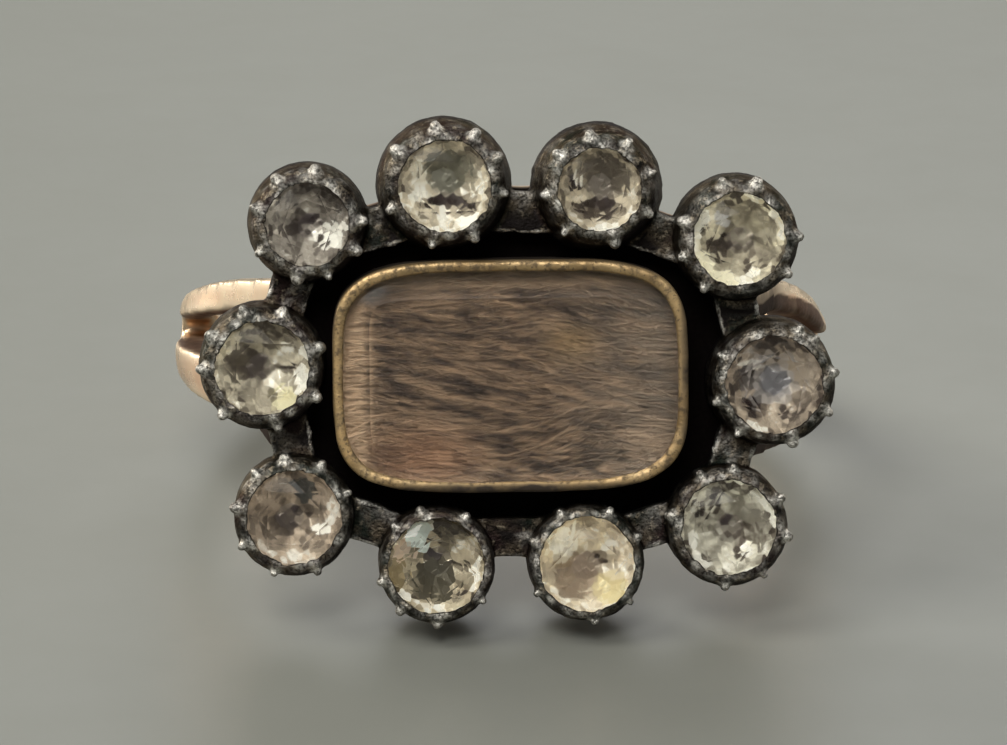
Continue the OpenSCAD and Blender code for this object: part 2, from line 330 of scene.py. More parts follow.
def rose_gold():
    m = Nodes("rose_gold_wear_and_light")
    dirt_and_shade, painted_black_shade = m.value("dirt_and_shade"), m.value("painted_black_shade")
    cloudy, scuffs, fine = m.grain(1.6, 2), m.grain(0.7, 3), m.grain(0.12, 3)
    # Brown where dirty or painted as shade, pale where showing wear or a painted highlight, and black
    # under the head as painted shade
    stain_and_shade = m.calc("ADD", dirt_and_shade, m.range(cloudy, 0.3, 0.7, -0.2, 0.2))
    brown = m.mix(fine, (0.06, 0.032, 0.022), (0.2, 0.12, 0.08))
    black = m.mix(fine, (0.004, 0.003, 0.003), (0.012, 0.009, 0.008))
    colour = m.mix(m.range(cloudy, 0.35, 0.65), (0.66, 0.4, 0.24), (0.78, 0.56, 0.36))
    colour = m.mix(m.times(m.value("worn"), 0.8), colour, (0.86, 0.7, 0.51))
    colour = m.mix(m.range(stain_and_shade, 0.25, 0.75), colour, brown)
    colour = m.mix(painted_black_shade, colour, black)
    rough = m.calc("ADD", m.range(scuffs, 0.3, 0.7, 0.22, 0.34), m.times(dirt_and_shade, 0.4), clamp=True)
    m.set(Base_Color=colour, Metallic=1.0, Roughness=m.range(painted_black_shade, 0, 1, rough, 0.8))
    m.set(Normal=m.bump(scuffs, 0.004, 0.4, m.bump(m.grain(1.6, 1), 0.03, 0.4)))
    return m.material


def old_gold():
    m = Nodes("yellow_gold_wear_and_light")
    dirt_and_shade = m.value("dirt_and_shade")
    cloudy, patches, fine = m.grain(0.9, 5), m.grain(0.22, 4, 0.6), m.grain(0.1, 4)
    # Pale where showing wear or a painted highlight, dark where dirty, mottled or painted as shade
    worn = m.times(m.value("worn"), m.range(cloudy, 0.4, 0.6, 0.2, 0.9))
    spots = m.calc("MAXIMUM", m.range(fine, 0.57, 0.67), m.range(patches, 0.48, 0.63))
    stain_and_shade = m.calc("ADD", dirt_and_shade, m.range(cloudy, 0.3, 0.7, -0.15, 0.15))
    grime_and_shade = m.calc("MAXIMUM", m.range(stain_and_shade, 0.3, 0.7), m.times(spots, 0.75))
    colour = m.mix(m.range(cloudy, 0.35, 0.65), (0.28, 0.19, 0.09), (0.47, 0.345, 0.185))
    colour = m.mix(worn, colour, (0.72, 0.48, 0.22))
    colour = m.mix(grime_and_shade, colour, (0.03, 0.02, 0.012))
    m.set(Base_Color=colour, Metallic=m.range(grime_and_shade, 0, 1, 0.85, 0.3))
    m.set(Roughness=m.range(grime_and_shade, 0, 1, 0.42, 0.75))
    m.set(Normal=m.bump(patches, 0.03, 0.8, m.bump(fine, 0.015, 0.7)))
    return m.material


def old_silver():
    m = Nodes("tarnished_silver_and_light")
    dirt_and_shade = m.value("dirt_and_shade")
    cloudy, patches, fine = m.grain(0.7, 6, 0.65), m.grain(0.24, 4, 0.6), m.grain(0.08, 4, 0.6)
    uneven = m.range(fine, 0.4, 0.56, 0.3, 1.1)
    # Bright where showing wear or a painted highlight, near black where dirty or painted as shade
    worn = m.calc("MULTIPLY", m.value("worn"), uneven, clamp=True)
    stain_and_shade = m.calc("ADD", dirt_and_shade, m.range(cloudy, 0.3, 0.7, -0.2, 0.2))
    grime_and_shade = m.range(stain_and_shade, 0.25, 0.8)
    tint = m.mix(m.range(m.grain(1.9, 3), 0.4, 0.6), (0.028, 0.018, 0.017), (0.015, 0.019, 0.015))
    colour = m.mix(m.range(cloudy, 0.45, 0.65), tint, (0.095, 0.075, 0.052))
    colour = m.mix(m.range(patches, 0.55, 0.64, 0, 0.8), colour, (0.22, 0.185, 0.135))
    colour = m.mix(m.range(fine, 0.46, 0.38, 0, 0.8), colour, (0.01, 0.008, 0.008))
    colour = m.mix(worn, colour, (0.95, 0.92, 0.84))
    colour = m.mix(grime_and_shade, colour, (0.009, 0.007, 0.007))
    metal = m.calc("SUBTRACT", m.range(grime_and_shade, 0, 1, 0.95, 0.6), m.times(worn, 0.35))
    rough = m.range(worn, 0, 1, m.range(fine, 0.3, 0.7, 0.32, 0.55), 0.2)
    m.set(Base_Color=colour, Metallic=metal, Roughness=rough, Specular_Tint=(0.5, 0.46, 0.42, 1))
    hammered = m.bump(m.grain(0.4, 3), 0.07, 0.9)
    m.set(Normal=m.bump(fine, 0.035, 1.0, m.bump(patches, 0.07, 1.0, hammered)))
    return m.material


def glass(name, tint, lamp_tint, roughness, shine):
    """Smeared old glass. Shine is the share of its reflections that shows."""
    m = Nodes(name)
    smear = m.grain(1.2, 4)
    m.set(Base_Color=m.mix(smear, tint, tuple(0.97 * c for c in tint)), Transmission_Weight=1.0)
    m.set(Roughness=m.range(smear, 0.3, 0.75, roughness, roughness + 0.05))
    m.set(IOR=1.48, Specular_Tint=(shine, shine, shine, 1))
    m.set(Normal=m.bump(m.grain(0.4, 2), 0.002, 0.3))
    m.lets_lamps_through(lamp_tint)
    return m.material


# Half width, in shares of the radius, down to which a spot on a foil keeps its own outline
NARROW = 0.06


def foil(name, pale, dull, spots):
    """Old foil behind a stone: patches of mirrored facets, with its own stains, and painted reflections
    and glints.
    """
    m = Nodes(name)
    exact = m.value("spread", "Vector")
    place, chance = m.patches(exact, size=0.13)
    cloudy, crumbs = m.grain(0.5, 4, 0.6), m.cells(0.2)
    tone = m.times(m.value("tone"), m.range(chance, 0, 1, 0.3, 1.7))
    tone = m.times(tone, m.range(cloudy, 0.3, 0.65, 0.7, 1.15))
    tints = []
    for x, y, width, height, aim, *tint in spots:
        wide = min(width, height) > NARROW
        share = m.spot(place if wide else exact, x, y, width, height)
        tone = m.blend(share, tone, m.range(chance, 0, 1, 0.55 * aim, 1.4 * aim))
        if tint:
            tints.append((share, tint[0]))
    tone = m.times(tone, m.times(m.value("deep"), m.range(crumbs, 0, 1, 0.85, 1.15)))
    colour = m.mix(m.range(tone, 0.25, 0.85), dull, pale)
    # Painted reflections: dark patches go near black and bright ones near white, as glints
    colour = m.mix(m.range(tone, 0.05, 0.28, 0.96, 0), colour, (0.02, 0.012, 0.012))
    colour = m.mix(m.range(tone, 0.9, 1.2, 0, 0.95), colour, (1, 1, 0.93))
    for share, tint in tints:
        colour = m.mix(m.times(share, 0.8), colour, tint)
    m.set(Base_Color=colour, Metallic=0.4, Roughness=m.range(chance, 0, 1, 0.45, 0.2))
    m.set(Normal=m.bump(crumbs, 0.02, 0.35, m.bump(chance, 0.03, 0.5)))
    return m.material


def hair():
    m = Nodes("combed_hair")
    colour = m.mix(m.value("tone"), (0.027, 0.018, 0.012), (0.31, 0.228, 0.145))
    colour = m.mix(m.times(m.value("rust"), 0.65), colour, (0.27, 0.155, 0.085))
    colour = m.mix(m.times(m.value("ochre"), 0.75), colour, (0.29, 0.2, 0.085))
    colour = m.mix(m.times(m.value("grey"), 0.5), colour, (0.25, 0.225, 0.18))
    # Painted reflection of the case's wall behind the crystal's bevels
    tan = m.times(m.value("tan"), m.range(m.grain(0.35, 4), 0.35, 0.6, 0.7, 1))
    colour = m.mix(tan, colour, (0.6, 0.47, 0.32))
    m.set(Base_Color=colour, Roughness=m.range(m.grain(0.2, 3), 0.3, 0.7, 0.6, 0.8))
    m.set(Specular_IOR_Level=0.25, Sheen_Weight=0.2)
    m.set(Normal=m.bump(m.grain(0.06, 2), 0.01, 0.4))
    return m.material


# Silver collets: the CAD shape as one soft skin, uneven and with the wear of hand work, with painted
# highlights and painted shade

# How far a claw's tip lies outside the girdle and above it, in millimetres
TIP_OUT, TIP_UP = 0.24, -0.02


class Collet:
    """Where the points of one collet's skin lie, from the girdle and from their nearest claw."""

    def __init__(self, stone, points):
        local = points - [*stone.middle, stone.girdle]
        reach = np.hypot(local[:, 0], local[:, 1])
        self.past, self.height = reach - stone.radius, local[:, 2]
        self.inward = -local[:, :2] / reach[:, None]
        self.towards = np.clip(self.inward @ stone.middle / np.hypot(*stone.middle), 0, 1)
        self.slim = stone.slim
        angle = np.degrees(np.arctan2(local[:, 1], local[:, 0]))
        off = np.abs((angle[:, None] - stone.claws + 180) % 360 - 180)
        claw, off = off.argmin(1), off.min(1)
        # Far from every claw the distance sideways doesn't matter, and is given as 9 mm
        self.side = np.where(off < 60, reach * np.sin(np.radians(np.minimum(off, 60))), 9)
        self.tip = np.sqrt((self.past - TIP_OUT) ** 2 + self.side ** 2 + (self.height - TIP_UP) ** 2)
        # Grains differ in size, as hand-raised ones do, and in how bright their painted highlight is
        self.size = random.uniform(-0.08, 0.01, len(stone.claws))[claw]
        self.shine = random.uniform(0.6, 1.15, len(stone.claws))[claw]
        self.rim = hump(self.past, 0, 0.14) * (self.height > -0.02)
        self.bar = ramp(self.past, 0.5, 0.15) * (off > 14)


def collet_move(at, out, slow, quick, fine):
    """How far each point of a collet's skin moves, in millimetres."""
    outward = 0.016 * slow + 0.018 * quick + 0.006 * fine + at.size * hump(at.tip, 0, 0.25, 4)
    outward += at.bar * (0.05 * quick + 0.02 * fine)
    move = out * outward[:, None]
    # The rim is rubbed over unevenly, and the lower collets are slimmer
    slim = at.slim * ramp(at.past, 0.08, 0.25) * ramp(at.past, 1.1, -0.5)
    move[:, :2] += at.inward * (slim + at.rim * (0.03 + 0.05 * quick + 0.03 * fine))[:, None]
    # The seat moves off the stone
    seat = (at.past < 0.1) * (at.height < -0.02) * np.clip(3 * out[:, 2], 0, 1)
    move[:, 2] -= 0.09 * seat
    return move


def collet_wear_and_light(at, out, ridge, quick, fine):
    """How far each point of a collet's skin shows wear or a painted highlight, and how dirty or painted
    as shade it is.
    """
    rib = hump(at.side, 0, 0.13, 4) * (at.past > 0.12) * (at.height > -1.6)
    # Painted shade: the seat under the stone and the feet deep between the collets are painted dark
    inner_shade, shaded_foot = ramp(at.past, -0.02, -0.05), ramp(at.height, -1.2, -0.6)
    # Edges show wear; the rim gets painted glints and the ribs a painted highlight, most on the side
    # towards the middle of the head
    worn = np.maximum.reduce([
        0.55 * np.clip(ridge / 0.012 + 0.4 * quick, 0, 1) ** 1.5,
        at.rim * np.clip(0.15 + 0.9 * quick + 0.5 * fine, 0, 0.7),
        (0.12 + 0.3 * at.towards) * rib,
    ]) * (1 - inner_shade)
    # Painted shade and highlight: the bars are painted dark between the collets, as they lie in shade,
    # and bright along an edge
    edge = at.bar * np.clip(ridge / 0.006 - 0.7 + quick, 0, 1)
    worn = np.maximum(worn, 0.9 * edge)
    # Painted shade: the side that faces down and to the right is painted darkest
    shaded_side = np.clip(out @ [0.65, -0.7, -0.3], 0, 1) ** 0.6 * (at.past > 0.15)
    # Creases are darker; the seat, the feet, the bars and the shaded side are painted shade
    dirt_and_shade = np.maximum.reduce([
        0.6 * ramp(ridge, 0, -0.012), inner_shade, 0.85 * shaded_foot, at.bar * (ridge < 0.006), 0.95 * shaded_side,
    ])
    # Painted highlight: the grains at the claws' tips are painted bright, some more than others
    grain = hump(at.tip, 0, 0.21, 4) * at.shine
    return np.maximum(worn * (0.65 + 0.6 * quick), grain * (0.85 + 0.35 * fine)), dirt_and_shade * (1 - grain)


def make_collets():
    piece = remeshed("silver_collets", "collet_cluster", voxel=0.055, smoothing=3)
    mesh = piece.data
    points, out = vertices(mesh), normals(mesh)
    ridge = bulge(mesh, points, steps=2, even_steps=1)
    slow, quick, fine = waves(points, 0.9, 1), waves(points, 0.35, 2), waves(points, 0.16, 4)
    nearest = np.argmin([np.hypot(*(points[:, :2] - stone.middle).T) for stone in STONES], 0)
    move, worn, dirt_and_shade = np.zeros_like(points), np.zeros(len(points)), np.zeros(len(points))
    for number, stone in enumerate(STONES):
        mine = nearest == number
        at = Collet(stone, points[mine])
        move[mine] = collet_move(at, out[mine], slow[mine], quick[mine], fine[mine])
        worn[mine], dirt_and_shade[mine] = collet_wear_and_light(at, out[mine], ridge[mine], quick[mine], fine[mine])
    give_values(mesh, "worn", worn)
    give_values(mesh, "dirt_and_shade", dirt_and_shade)
    place_back(piece, points + move)
    add_piece(piece, "collet_cluster", "old_silver", old_silver())


# Shank: the CAD shape with rounded edges that show wear, painted highlights, and dirty patches and
# painted shade where it lies under the head


def right_branch(x, y):
    """One on the right shoulder's upper branch."""
    return ramp(x, 5.5, 1) * ramp(y, 0, 1)


def shoulder_lift(points):
    """How far the branches of the shoulders are bent along the finger."""
    x, y, height = points.T
    lift = 0.3 * ramp(height, 2, 2.5) - 0.22 * hump(height, 1.2, 1.3)
    lift *= right_branch(x, y) * ramp(height, 7.5, -1.5)
    # The left shoulder's lower branch lies closer to the upper one
    raised = 0.52 * ramp(y, 0.5, -1.7) * ramp(height, -6, 4)
    return lift + raised * ramp(x, -4, -1) * ramp(height, 8.2, -1.2)


def shank_wear_and_light(points, out, ridge, slow):
    """How far each point of the shank shows wear or a painted highlight, and how dirty or painted as
    shade it is.
    """
    x, y, height = points.T
    # Painted shade: the walls inside the groove between the branches and the parts near and under the
    # head are painted brown
    fork_shade = np.clip(-out[:, 1] * np.sign(y - 0.6), 0, 1) * ramp(height, -2, 2) * (np.abs(y) < 1.9)
    shade_under_head = ramp(x, -4.2, -1.2) * ramp(y, 0, -0.5) * ramp(height + 0.5 * slow, 5.2, 1.2)
    # Painted shade: the left shoulder's lower branch is painted darker towards its lower edge
    left = (x < -5) * (height > 0) * ramp(y, -1.25, -0.5)
    # The right shoulder's upper branch has a painted highlight along a strip at its upper edge, where it
    # is also rubbed thin, and painted brown shade below the strip
    right = right_branch(x, y)
    strip_end = 1.73 - (8.9 - height) ** 2 / 77
    shade_under_strip = np.maximum(
        right * ramp(y, strip_end, -0.1) * ramp(height, -2, 2),
        ramp(x, 5, 0.8) * (y < strip_end) * ramp(height + 0.5 * slow, 5, 1.2),
    )
    # Painted shade also high up near the head and in creases
    dirt_and_shade = np.maximum.reduce([
        0.75 * fork_shade, shade_under_head, 0.55 * ramp(height, 7.4, 1.5), 0.5 * left, 0.8 * shade_under_strip,
        0.5 * ramp(ridge, 0, -0.015),
    ])
    worn = np.maximum(ramp(ridge, 0, 0.01), 1.1 * right * (shade_under_strip < 0.3) * ramp(height, 0, 1))
    return worn, dirt_and_shade


def shank_black_shade(height, moved, out, slow):
    """Painted shade: the plate's front and, below the stones, the shoulders are painted as black as the
    back of the head, where the head shades them.
    """
    x, y = moved[:, 0], moved[:, 1]
    front = ramp(height, CASE_LOW[2] - 0.28, 0.15) * np.clip(3 * out[:, 2] + 0.3, 0, 1)
    below = ramp(height + 0.6 * slow, 5.3, 1.3) * ramp(np.abs(x), 4.2, 1.4)
    below *= np.clip(3 * out[:, 2] - 0.3, 0, 1) * np.where(y < 0, 1, 0.9 * (x > 0))
    return np.maximum(front, below)


def make_shank():
    piece = remeshed("gold_shank", "shank", voxel=0.1, smoothing=30)
    mesh = piece.data
    points, out = vertices(mesh), normals(mesh)
    ridge = bulge(mesh, points, steps=3, even_steps=6)
    slow = waves(points, 2.2, 3)
    worn, dirt_and_shade = shank_wear_and_light(points, out, ridge, slow)
    moved = points + out * (0.015 * slow)[:, None]
    moved[:, 1] += shoulder_lift(points)
    give_values(mesh, "worn", worn)
    give_values(mesh, "dirt_and_shade", dirt_and_shade)
    give_values(mesh, "painted_black_shade", shank_black_shade(points[:, 2], moved, out, slow))
    place_back(piece, moved)
    add_piece(piece, "shank", "rose_gold", rose_gold())


# Locket: an outline with bowed sides and round corners, swept along profiles

# Points round the outline
ROUND = 256


def outline(low, high, inset, squareness=4.2):
    """Points round the outline between low and high, smaller by inset."""
    turn = 2 * np.pi * np.arange(ROUND) / ROUND
    circle = np.stack([np.cos(turn), np.sin(turn)], 1)
    half = (high - low)[:2] / 2 - inset
    return (low + high)[:2] / 2 + half * np.sign(circle) * np.abs(circle) ** (2 / squareness)


def sweep(low, high, profile, uneven=0.0, seed=1):
    """Rings of points along a profile of inset and height, closed by flat caps."""
    rings = []
    for inset, height in profile:
        rings.append(np.column_stack([outline(low, high, inset), np.full(ROUND, height)]))
    points = np.concatenate(rings)
    if uneven:
        place = points * [1, 1, 0.3]
        aside = np.stack([waves(place, 0.8, seed), waves(place, 0.8, seed + 1)], 1)
        points[:, :2] += uneven * aside
        lowered = waves(points * [1, 1, 0.3], 0.6, seed + 2)
        points[:, 2] -= uneven * (0.5 + 0.5 * lowered)
    faces = []
    last = ROUND * (len(profile) - 1)
    for here in range(0, last, ROUND):
        for i in range(ROUND):
            j = (i + 1) % ROUND
            faces.append((here + i, here + j, here + ROUND + j, here + ROUND + i))
    faces.append(tuple(reversed(range(ROUND))))
    faces.append(tuple(range(last, last + ROUND)))
    return points, faces


def make_locket_case():
    top, bottom = CASE_HIGH[2] - 0.002, CASE_LOW[2]
    wall, lip = 0.25, 0.3
    outside = [(0.05, bottom), (0.012, bottom + 0.05), (0.01, bottom + 0.4), (0.01, top - 0.9)]
    outside += [(0.01, top - 0.45), (0.012, top - 0.14), (0.025, top - 0.06), (0.055, top - 0.018)]
    over_rim = [(0.1, top), (0.17, top - 0.002), (0.24, top - 0.012), (lip - 0.01, top - 0.04)]
    inside = [(lip, top - 0.1), (lip - 0.02, top - 0.135), (wall, top - 0.16), (wall, HAIR_LOW[2] - 0.03)]
    profile = outside + over_rim + inside
    points, faces = sweep(CASE_LOW, CASE_HIGH, profile, uneven=0.025, seed=11)
    piece = add_mesh("gold_locket_case", points, faces)
    x, y, height = points.T
    # The rim's lower and right stretches and its outer wall lower down are the dirtiest and painted
    # darkest as shade, and its crown shows wear and is painted bright as a highlight, most at the left
    outer_dirt_and_shade = np.maximum.reduce([
        ramp(height, top - 0.35, -0.5), 0.68 * ramp(y, -2.75, -0.3), 0.58 * ramp(x, 4.3, 0.3),
        np.full(len(points), 0.1),
    ])
    hidden = [inset > lip - 0.03 for inset, _ in profile[:-2]] + [True, True]
    give_values(piece.data, "dirt_and_shade", np.where(np.repeat(hidden, ROUND), 0.2, outer_dirt_and_shade))
    crown = np.clip(1 - np.abs(height - top + 0.02) / 0.08, 0, 1)
    broken = 0.5 + waves(points, 0.7, 15)
    worn = crown * (0.35 + 0.65 * ramp(x, -3.6, -1)) * np.clip(1.4 * broken, 0, 1.2)
    give_values(piece.data, "worn", worn)
    add_piece(piece, "locket_case", "yellow_gold", old_gold())


def make_crystal():
    bottom, top = GLASS_LOW[2], GLASS_HIGH[2]
    girdle, bevel = top - 0.4, 0.74
    profile = [(0.03, bottom), (0, bottom + 0.03), (0, girdle - 0.02), (0.006, girdle - 0.002)]
    profile += [(0.02, girdle + 0.009), (bevel - 0.006, top - 0.004), (bevel + 0.006, top)]
    points, faces = sweep(GLASS_LOW, GLASS_HIGH, profile)
    # The table has squarer corners than the crystal's own outline
    for ring, (inset, _) in list(enumerate(profile))[-2:]:
        squarer = outline(GLASS_LOW, GLASS_HIGH, inset, squareness=9)
        points[ROUND * ring:ROUND * (ring + 1), :2] = squarer
    piece = add_mesh("bevelled_crystal", points, faces)
    for flat_face in piece.data.polygons[-2:]:
        flat_face.use_smooth = False
    tint, lamp_tint = (0.94, 0.91, 0.89), (0.92, 0.88, 0.86)
    clear = glass("old_crystal", tint, lamp_tint, roughness=0.18, shine=0.25)
    add_piece(piece, "crystal", "crystal", clear)


# Hair: a dark backing and strands combed from side to side

# Number of strands, steps along each, sides, and the fewest points of one that is kept
STRANDS, STRAND_STEPS, STRAND_SIDES, FEWEST = 2900, 12, 3, 5


def patch(x, y, middle, size):
    """One at the middle of a soft oval patch, falling smoothly to nought round it."""
    return np.exp(-(((x - middle[0]) / size[0]) ** 2 + ((y - middle[1]) / size[1]) ** 2))


def comb_angle(x, y):
    """The direction that the strands run in at a place on the face, in radians."""
    wave = 0.09 * np.sin(0.9 * x + 0.6 * y) + 0.06 * np.sin(1.7 * x - 1.1 * y + 1.3)
    fall = -0.26 * patch(x, y + 0.16 * x, (1.4, 0.2), (2.2, 0.8))
    rise = 0.3 * patch(x, y, (2.6, -1.5), (1.6, 0.9))
    arch = 0.22 * np.clip(-x / 4.5, -1, 1) * np.clip(y / 2.8, 0, 1)
    return wave + fall + rise + arch


def strand_path(strand, middle, half):
    """Points along one strand, cut off where it leaves the locket."""
    x, y = middle + half * random.uniform(-1, 1, 2)
    length = random.uniform(0.9, 2.4) if strand % 4 else random.uniform(2.4, 5)
    own, swing, start_turn = random.normal(0, 0.12), random.uniform(0, 0.35), random.uniform(0, 6)
    stride = length / STRAND_STEPS
    path = []
    for step in range(STRAND_STEPS):
        path.append((x, y))
        angle = comb_angle(x, y) + own + swing * math.sin(1.8 * stride * step + start_turn)
        x += stride * math.cos(angle)
        y += stride * math.sin(angle)
    path = np.array(path)
    path[:, 0] -= length / 2
    inside = (np.abs((path - middle) / half) ** 4.2).sum(1) < 1
    start = np.argmax(inside)
    return path[start:start + np.argmin(np.append(inside[start:], False))]


def strand_tube(strand, path, top):
    """Points round one strand, thin at its ends, and the brightness of each, with deeper strands painted
    darker as shade.
    """
    depth = random.uniform(0, 1)
    radius = random.uniform(0.014, 0.03)
    t = np.linspace(0, 1, len(path))
    height = top - 0.045 - 0.09 * depth - 0.03 * (1 - np.sin(np.pi * t)) + 0.008 * np.sin(9 * t + strand)
    thin = radius * np.clip(3 * np.minimum(t, 1 - t) + 0.3, 0, 1)
    ahead = np.gradient(path, axis=0)
    ahead /= np.linalg.norm(ahead, axis=1)[:, None]
    aside = np.stack([-ahead[:, 1], ahead[:, 0]], 1)
    ring = []
    for side in range(STRAND_SIDES):
        turn = 2 * math.pi * (side + 0.5) / STRAND_SIDES
        across = path + aside * (thin * math.cos(turn))[:, None]
        ring.append(np.column_stack([across, height + thin * math.sin(turn)]))
    # Painted shade: deeper strands are painted darker
    tone = 0.46 + 0.13 * random.normal() - 0.12 * depth
    tones = tone + 0.1 * np.repeat(np.sin(7 * t + strand), STRAND_SIDES)
    return np.stack(ring, 1).reshape(-1, 3), tones


def hair_values(points, tones):
    """What the hair's material reads: lighter and darker locks, coloured patches, and a painted
    reflection behind the crystal's bevels.
    """
    x, y = points[:, 0], points[:, 1]
    # The noise is drawn out along the strands, which slant a little
    sheared = points @ [[1, 0.3, 0], [-0.5, 1, 0], [0, 0, 0]]
    cloud = waves(sheared * [0.5, 1, 0], 0.6, 22)
    locks = waves(sheared * [0.25, 1.5, 0], 0.5, 27)
    tufts = waves(sheared * [0.3, 1.5, 0], 0.2, 33)
    # Painted reflection: behind the crystal's bevels the hair is painted pale, as the bevels show the
    # case's gold wall
    edge = np.maximum.reduce([
        ramp(x, -3.92, -0.08), 0.1 * ramp(y, -2.4, -0.15), 0.65 * ramp(y, 2.15, 0.15),
    ])
    return {
        "tone": tones + 0.3 * cloud + 0.55 * locks + 0.7 * tufts,
        "rust": 1.2 * patch(x, y, (-2.6, -2.2), (1.5, 0.75)) + 0.25 * cloud - 0.1,
        "ochre": 1.1 * patch(x, y, (1.6, 0.9), (0.7, 0.5)) + 0.2 * cloud - 0.08,
        "tan": edge + 0.25 * tufts * (edge > 0),
        "grey": ramp(x, 0.5, 3.5) + 0.3 * cloud,
    }


def make_hair():
    low, high = HAIR_LOW, HAIR_HIGH
    top = high[2]
    middle, half = (low + high)[:2] / 2, (high - low)[:2] / 2 - 0.05
    profile = [(0.02, low[2]), (0, low[2] + 0.05), (0, top - 0.22), (0.02, top - 0.2)]
    backing, faces = sweep(low, high, profile)
    points, tones, total = [backing], [np.full(len(backing), 0.3)], len(backing)
    for strand in range(STRANDS):
        path = strand_path(strand, middle, half)
        if len(path) < FEWEST:
            continue
        ring, ring_tones = strand_tube(strand, path, top)
        points.append(ring)
        tones.append(ring_tones)
        for first in range(total, total + STRAND_SIDES * (len(path) - 1), STRAND_SIDES):
            for side in range(STRAND_SIDES):
                a, b = first + side, first + (side + 1) % STRAND_SIDES
                faces.append((a, b, b + STRAND_SIDES, a + STRAND_SIDES))
        total += len(ring)
    points = np.concatenate(points)
    piece = add_mesh("hair_work", points, faces)
    for name, values in hair_values(points, np.concatenate(tones)).items():
        give_values(piece.data, name, values)
    add_piece(piece, "hair_panel", "hair", hair())


# Stones: a hand-cut brilliant each, clear above the girdle, with old foil behind the pavilion, on which
# reflections and glints are painted

# The stone that was cleaned more than the others
CLEANED = 8
